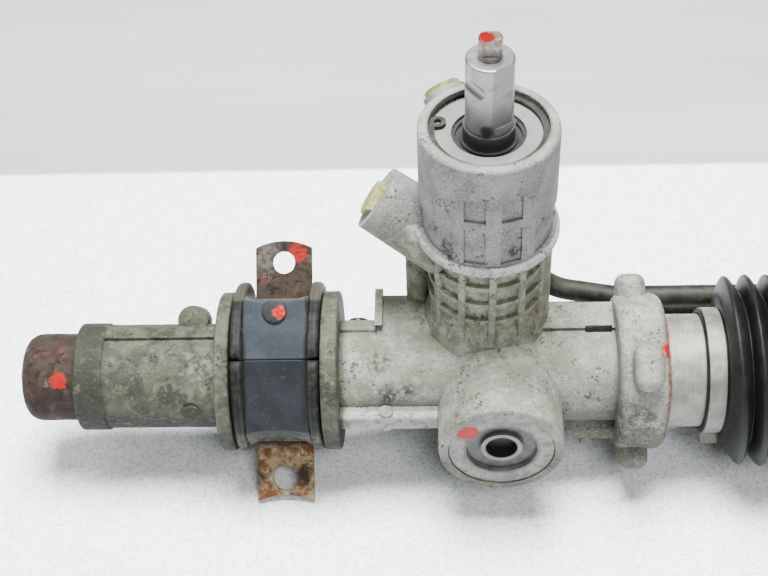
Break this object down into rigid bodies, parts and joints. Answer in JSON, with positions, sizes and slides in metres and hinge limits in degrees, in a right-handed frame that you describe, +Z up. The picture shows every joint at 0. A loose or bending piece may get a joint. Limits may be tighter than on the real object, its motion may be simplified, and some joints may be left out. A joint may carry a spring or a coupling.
{
  "type": "steering rack",
  "caption": "Hydraulic power steering rack with a central take-off for the tie rods, an upright valve tower and two rubber-bushed saddle mounts.",
  "frame": {"origin": "middle of the clamped stretch of the input shaft, on its axis", "axes": "+X along the rack bar, from the capped end to the power cylinder; +Z up along the input shaft; +Y towards the back, away from the yoke plug"},
  "size_m": [0.854, 0.1121, 0.2161],
  "materials": {
    "cast_alloy": "as cast, dull, with road dirt",
    "turned_alloy": "turned, dulled",
    "rusty_steel": "rusted",
    "bright_steel": "ground",
    "dark_steel": "dark coated",
    "tube_steel": "black painted",
    "clamp_steel": "plated, dulled",
    "bush_rubber": "moulded",
    "boot_rubber": "moulded",
    "seal_rubber": "moulded",
    "plug_plastic": "translucent yellow green",
    "liner_plastic": "natural",
    "bearing_bronze": "plain"
  },
  "bodies": {
    "housing": {"pinion_housing": "cast_alloy", "left_end_cap": "rusty_steel", "rack_bush": "liner_plastic", "left_bush_upper": "bush_rubber", "left_bush_lower": "bush_rubber", "left_saddle_strap": "rusty_steel", "right_bush_upper": "bush_rubber", "right_bush_lower": "bush_rubber", "right_saddle_strap": "rusty_steel", "boot_spigot": "turned_alloy", "centre_tube": "tube_steel", "boot_left": "boot_rubber", "boot_right": "boot_rubber", "boot_clamps": "clamp_steel", "cylinder_gland": "turned_alloy", "rod_seal": "seal_rubber", "rod_bush": "bearing_bronze", "cylinder_tube": "tube_steel", "cylinder_end_plug": "turned_alloy", "snap_ring": "dark_steel", "support_yoke": "turned_alloy", "yoke_seal_ring": "seal_rubber", "yoke_spring": "bright_steel", "yoke_plug": "turned_alloy", "yoke_lock_ring": "turned_alloy", "lower_bearing": "bright_steel", "bearing_retainer": "dark_steel", "pinion_bottom_cap": "dark_steel", "neck_bearing": "bearing_bronze", "neck_seal": "seal_rubber", "top_bearing": "bearing_bronze", "shaft_seal": "seal_rubber", "retainer_washer": "bright_steel", "circlip": "dark_steel", "port_plug": "plug_plastic", "rear_port_plug": "plug_plastic", "upper_pipe": "dark_steel", "lower_pipe": "dark_steel", "pipe_nuts": "clamp_steel", "vent_cap": "seal_rubber"},
    "rack": {"rack_bar": "bright_steel", "piston": "turned_alloy", "piston_seal": "liner_plastic", "piston_nut": "dark_steel", "tie_rod_carrier": "dark_steel", "carrier_screws": "dark_steel", "slide_shoes": "liner_plastic", "carrier_clamps": "clamp_steel"},
    "pinion": {"pinion": "bright_steel", "lower_bearing_inner": "bright_steel", "pinion_nut": "dark_steel", "valve_sleeve": "bright_steel", "sleeve_rings": "liner_plastic"},
    "input": {"input_shaft": "bright_steel", "torsion_bar": "bright_steel", "torsion_pin": "bright_steel"}
  },
  "joints": [
    {"name": "rack_slide", "type": "slide", "parent": "housing", "child": "rack", "axis": [1, 0, 0], "range_m": [-0.065, 0.065], "deforming": ["boot_left", "boot_right"]},
    {"name": "pinion_turn", "type": "hinge", "parent": "housing", "child": "pinion", "pos_m": [0, 0, -0.1421], "axis": [0, 0, 1], "range_deg": [-468, 468]},
    {"name": "input_twist", "type": "hinge", "parent": "pinion", "child": "input", "pos_m": [0, 0, -0.0821], "axis": [0, 0, 1], "range_deg": [-4, 4], "stiffness_Nm_per_rad": 0.02}
  ],
  "couplings": [
    {"joint": "pinion_turn", "follows": "rack_slide", "rad_per_m": 125}
  ]
}
